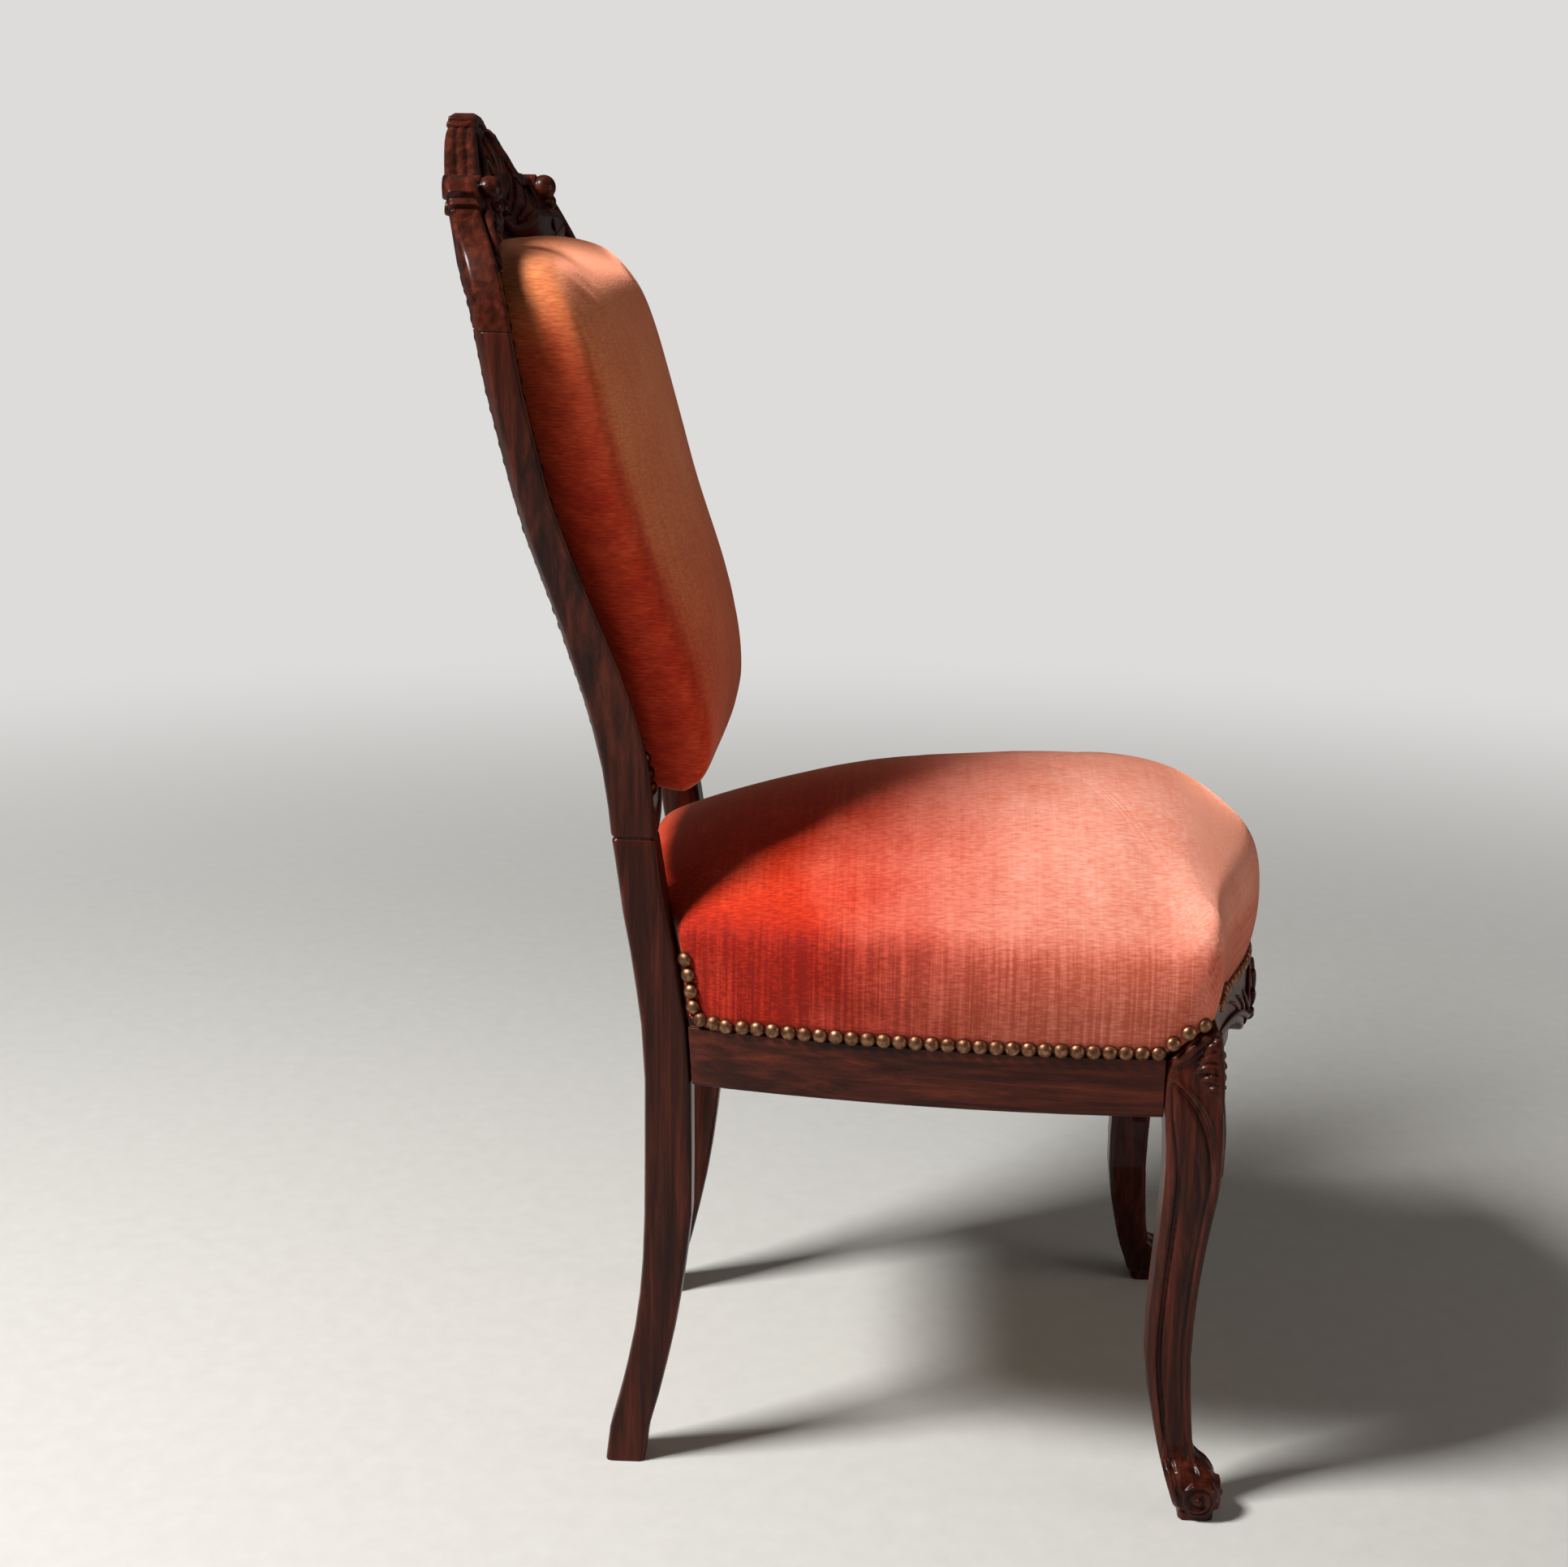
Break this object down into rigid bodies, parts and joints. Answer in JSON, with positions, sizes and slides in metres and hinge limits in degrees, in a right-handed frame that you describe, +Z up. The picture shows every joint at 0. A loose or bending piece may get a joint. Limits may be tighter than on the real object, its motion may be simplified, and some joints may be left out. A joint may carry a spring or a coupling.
{
  "type": "louis xv style chair",
  "caption": "Upholstered side chair with cabriole front legs, sabre rear legs, a raked moulded back frame with a carved crest, a high sprung seat and a thick padded back.",
  "frame": {"origin": "on the floor, under the middle of the chair's overall width and depth", "axes": "+Z up from the floor; the chair faces -Y; its own left side is towards +X"},
  "size_m": [0.452, 0.6099, 0.965],
  "materials": {
    "rosewood": "dark red-brown, french polished",
    "beech": "unpolished",
    "velvet": "cut pile velvet, coral red",
    "jute": "plain woven",
    "horsehair": "curled hair",
    "spring_steel": "coppered wire"
  },
  "bodies": {
    "root": {"front_leg_left": "rosewood", "front_leg_right": "rosewood", "rear_leg_left": "rosewood", "rear_leg_right": "rosewood", "crest_rail": "rosewood", "lower_back_rail": "rosewood", "side_rail_left": "rosewood", "side_rail_right": "rosewood", "front_rail": "rosewood", "rear_rail": "beech", "corner_block_1": "beech", "corner_block_2": "beech", "corner_block_3": "beech", "corner_block_4": "beech", "crest_dowel_left": "beech", "crest_dowel_right": "beech", "seat_cover": "velvet", "back_cover": "velvet", "outside_back_cover": "velvet", "webbing_long_1": "jute", "webbing_long_2": "jute", "webbing_long_3": "jute", "webbing_cross_1": "jute", "webbing_cross_2": "jute", "webbing_cross_3": "jute", "spring_hessian": "jute", "back_hessian": "jute", "seat_stuffing": "horsehair", "back_stuffing": "horsehair", "seat_spring_1": "spring_steel", "seat_spring_2": "spring_steel", "seat_spring_3": "spring_steel", "seat_spring_4": "spring_steel", "seat_spring_5": "spring_steel"}
  },
  "joints": []
}
